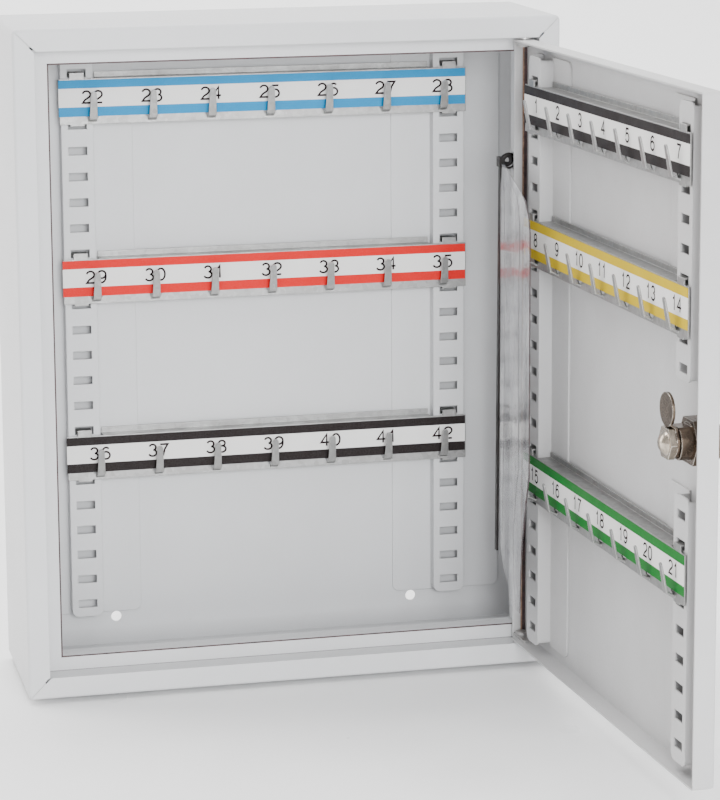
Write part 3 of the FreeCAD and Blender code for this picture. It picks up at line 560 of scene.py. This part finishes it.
def rim(half_x, half_z, y, width):
    """Four lines just outside a rectangle, on a face that looks towards -Y."""
    across, up = half_x + width, half_z + width
    return [
        line_strip((-across, y, half_z), (across, y, half_z), width, (0, 0, 1)),
        line_strip((-across, y, -half_z), (across, y, -half_z), width, (0, 0, -1)),
        line_strip((-half_x, y, -up), (-half_x, y, up), width, (-1, 0, 0)),
        line_strip((half_x, y, -up), (half_x, y, up), width, (1, 0, 0)),
    ]


def upright(x, y, half_z, width):
    """One line up a face that looks towards -Y."""
    return [line_strip((x, y, -half_z), (x, y, half_z), width, (1, 0, 0))]


# Painted shade: a thin near-black line round the ledge's inner edge, for the dark gap seen behind
# it.
lines("ledge_edge_shade", rim(*LEDGE_EDGE, LEDGE_FACE, 0.8), GAP_SHADE, "case")
# Painted shade: a fine grey line in the fold round the ledge's outside, where the inner corner is
# shaded.
lines("step_fold_shade", rim(*STEP_FOLD, LEDGE_FACE, 0.3), FOLD_SHADE, "case")
# Painted shade: a black bar for the dark gap between the open door's hinge-side flange and the
# frame, and a brown line beside it.
lines("hinge_gap_shade", upright(132.3, HINGE_SIDE_FACE, DOOR_HALF_HEIGHT, 1.8), GAP_SHADE, "door")
lines("hinge_gap_brown_shade", upright(131.4, HINGE_SIDE_FACE, DOOR_HALF_HEIGHT, 0.9), BROWN_GAP_SHADE, "door")


# ---- sleeve -----------------------------------------------------------------------------

# Height in mm, and where the bag starts and ends across, as fractions from near to far.
SLEEVE_SHAPE = [
    (101.0, 0.06, 0.12), (98.0, 0.04, 0.34), (94.0, 0.03, 0.60), (89.0, 0.01, 0.83),
    (82.0, 0.0, 0.95), (73.0, 0.0, 1.0), (-60.0, 0.0, 1.0), (-76.0, 0.0, 0.90),
    (-100.0, 0.0, 0.78), (-118.0, 0.02, 0.74), (-127.0, 0.12, 0.73), (-134.0, 0.30, 0.72),
    (-142.0, 0.34, 0.70),
]
SLEEVE_TOP = 101.0
SLEEVE_LENGTH = 243.0
SLEEVE_ROWS = 120
SLEEVE_COLUMNS = 22
# Lines of painted shade laid on the bag: where each starts across it, how wide it is, and its
# slot: 1 is grey shade along a pressed fold, 2 is dark shade along the gap at the far edge.
SLEEVE_SHADE_LINES = [(0.0, 0.014, 1), (0.16, 0.010, 1), (0.66, 0.012, 1), (0.965, 0.035, 2)]
SHADE_LINE_LIFT = 0.05
# The bag's near and far edges seen from above, and how far right its film may reach, in mm.
SLEEVE_NEAR = Vector((120.4, -77.0))
SLEEVE_FAR = Vector((115.3, -153.5))
SLEEVE_RIGHT = 121.0
# How far below the tie the puckers die away, in mm.
PUCKER_DEPTH = 34.0


def sleeve_edges(height):
    """Where the bag starts and ends across at one height."""
    for (high, near, far), (low, next_near, next_far) in zip(SLEEVE_SHAPE, SLEEVE_SHAPE[1:]):
        if low <= height <= high:
            part = (high - height) / (high - low)
            return near + (next_near - near) * part, far + (next_far - far) * part
    return SLEEVE_SHAPE[-1][1:]


def sleeve_point(side, height, across):
    """A point on one wall of the bag: puckered below the tie, rippled down its length.

    The walls are sides -1 and 1, and they stand furthest apart halfway across. The first
    ripple is broad and grows towards the tie, and the second is fine.
    """
    near, far = sleeve_edges(height)
    place = near + (far - near) * across
    spot = SLEEVE_NEAR.lerp(SLEEVE_FAR, place)
    pinch = math.exp(-(SLEEVE_TOP - height) / PUCKER_DEPTH)
    belly = math.sin(math.pi * across)
    ripple = math.sin(place * 17.0 + height * 0.045 + side) * (0.22 + 0.5 * pinch)
    ripple += 0.18 * math.sin(height * 0.21 + place * 5.0 + 2.0 * side)
    swell = side * (0.10 + 0.75 * belly * (1 - 0.5 * pinch)) + ripple * belly * 0.8
    return Vector((min(spot.x + swell, SLEEVE_RIGHT), spot.y, height)) * MM


def sleeve_heights(rows):
    """Heights from the top down, closer together near the tie."""
    return [SLEEVE_TOP - SLEEVE_LENGTH * (row / rows) ** 1.15 for row in range(rows + 1)]


def sleeve_sheet(side, columns, start=0.0, end=1.0, lift=0.0):
    """Grid points and faces over part of one wall, lifted a little off it."""
    verts, faces = [], []
    for height in sleeve_heights(SLEEVE_ROWS):
        for column in range(columns + 1):
            across = start + (end - start) * column / columns
            verts.append(sleeve_point(side, height, across) + Vector((-lift, 0, 0)) * MM)
    wide = columns + 1
    for row in range(SLEEVE_ROWS):
        for column in range(columns):
            corner = row * wide + column
            faces.append((corner, corner + 1, corner + wide + 1, corner + wide))
    return verts, faces


def sleeve():
    """Two walls of film, and lines of painted shade laid down their length at the folds and the
    far edge, as one mesh.
    """
    sheets = [(sleeve_sheet(side, SLEEVE_COLUMNS), 0) for side in (-1.0, 1.0)]
    for place, wide, kind in SLEEVE_SHADE_LINES:
        sheets.append((sleeve_sheet(-1.0, 1, place, place + wide, SHADE_LINE_LIFT), kind))
    verts, faces, kinds = [], [], []
    for (more, around), kind in sheets:
        faces += [[index + len(verts) for index in face] for face in around]
        kinds += [kind] * len(around)
        verts += more
    film = mesh_object("sleeve_film", verts, faces, FILM, True)
    # Slot 1 is the grey fold shade and slot 2 the dark gap shade.
    film.data.materials.append(FOLD_SHADE)
    film.data.materials.append(GAP_SHADE)
    for polygon, kind in zip(film.data.polygons, kinds):
        polygon.material_index = kind
    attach(film, "case")
    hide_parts("clear_sleeve")
    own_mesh(film)


sleeve()


# ---- tie --------------------------------------------------------------------------------

# Where the loop is and its size, in mm.
TIE_MIDDLE = Vector((126.1, -70.0, 101.5))
TIE_RADIUS = 2.4
TIE_HALF_DEPTH = 1.35
# Half the strap's thickness, and how much it swells three times on the way round.
TIE_FAT = 1.25
TIE_LUMP = 0.16


def tie_loop():
    """The strap's closed loop, as a small fat ring that faces -Y."""
    around, section = 40, 12
    verts, faces = [], []
    for turn in range(around):
        angle = 2 * math.pi * turn / around
        fat = TIE_FAT + TIE_LUMP * math.sin(3 * angle + 0.6)
        for step in range(section):
            slant = 2 * math.pi * step / section
            reach = TIE_RADIUS + fat * math.cos(slant)
            flat = TIE_HALF_DEPTH * math.copysign(abs(math.sin(slant)) ** 0.6, math.sin(slant))
            spoke = Vector((reach * math.cos(angle), flat, reach * math.sin(angle)))
            verts.append((TIE_MIDDLE + spoke) * MM)
    for turn in range(around):
        here, there = turn * section, (turn + 1) % around * section
        for step in range(section):
            after = (step + 1) % section
            faces.append((here + step, there + step, there + after, here + after))
    loop = mesh_object("tie_loop", verts, faces, NYLON, True)
    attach(loop, "case")


tie_loop()


# ---- stage ------------------------------------------------------------------------------

FLOOR_HEIGHT = -0.186
FLOOR_SIZE = 6.0
# Where the floor starts to bend up behind the cabinet, and the radius of the bend, in metres.
FLOOR_BACK = 1.6
FLOOR_BEND = 0.8
BACKDROP_TOP = 5.0


def stage():
    """White paper sweep: a floor that bends up into a backdrop."""
    floor_material, tree, shader = new_material("floor")
    coords = object_coords(tree)
    tone = ramp(tree, noise(tree, coords, 2.0, 3.0, 0.5), [(0.3, 0.90), (0.7, 0.93)])
    tree.links.new(tone, shader.inputs["Base Color"])
    tree.links.new(noise(tree, coords, 20.0), shader.inputs["Roughness"])
    size, back, height = FLOOR_SIZE, FLOOR_BACK, FLOOR_HEIGHT
    corners = [(-size, -size), (size, -size), (size, back), (-size, back)]
    verts = [(x, y, height) for x, y in corners]
    faces = [(0, 1, 2, 3)]
    steps = 12
    for step in range(1, steps + 1):
        angle = math.pi / 2 * step / steps
        y = back + math.sin(angle) * FLOOR_BEND
        z = height + (1 - math.cos(angle)) * FLOOR_BEND
        verts += [(size, y, z), (-size, y, z)]
    wall = back + FLOOR_BEND
    verts += [(size, wall, BACKDROP_TOP), (-size, wall, BACKDROP_TOP)]
    faces += [(3, 2, 4, 5)]
    for step in range(steps):
        corner = 4 + step * 2
        faces.append((corner + 1, corner, corner + 2, corner + 3))
    floor = mesh_object("floor", verts, faces, floor_material, True)


def area_light(name, place, target, size, watts, colour=(1, 1, 1)):
    """A soft box at a place, turned to face its target."""
    light = bpy.data.lights.new(name, "AREA")
    light.shape = "RECTANGLE"
    light.size, light.size_y = size
    light.energy = watts
    light.color = colour
    obj = bpy.data.objects.new(name, light)
    bpy.context.scene.collection.objects.link(obj)
    obj.location = place
    obj.rotation_euler = (Vector(target) - Vector(place)).to_track_quat("-Z", "Y").to_euler()


WORLD_STRENGTH = 0.85


def lights():
    """A white room, the soft boxes round the cabinet and one on the backdrop."""
    world = bpy.data.worlds.new("studio")
    bpy.context.scene.world = world
    world.use_nodes = True
    background = world.node_tree.nodes["Background"]
    background.inputs["Color"].default_value = (1.0, 1.0, 1.0, 1)
    background.inputs["Strength"].default_value = WORLD_STRENGTH
    area_light("key", (0.05, -2.73, 0.60), (0.0, -0.05, 0.0), (1.0, 0.9), 84, (0.97, 0.985, 1.0))
    area_light("fill", (1.5, -2.2, 0.7), (0.1, -0.1, 0.0), (1.6, 1.6), 12)
    area_light("side", (-1.6, 0.9, 0.6), (-0.15, -0.05, 0.0), (1.2, 1.2), 26, (1.0, 0.965, 0.93))
    area_light("over", (0.0, -0.5, 2.4), (0.0, -0.1, 0.0), (2.4, 2.0), 26)
    area_light("backdrop", (0.0, 0.7, 2.2), (0.0, 1.9, 0.0), (3.4, 1.2), 110)


# Fitted to the photo: place in metres, turn in degrees, lens in mm and shift in widths.
CAMERA_PLACE = (-0.3439, -1.6963, 0.3345)
CAMERA_TURN = (79.302, 0.333, -13.400)
CAMERA_LENS = 153.5
CAMERA_SHIFT = (0.0, -0.12)


def camera():
    data = bpy.data.cameras.new("camera")
    data.sensor_fit = "HORIZONTAL"
    data.sensor_width = 36.0
    data.lens = CAMERA_LENS
    data.shift_x, data.shift_y = CAMERA_SHIFT
    obj = bpy.data.objects.new("camera", data)
    bpy.context.scene.collection.objects.link(obj)
    obj.location = CAMERA_PLACE
    obj.rotation_euler = [math.radians(v) for v in CAMERA_TURN]
    bpy.context.scene.camera = obj


stage()
lights()
camera()
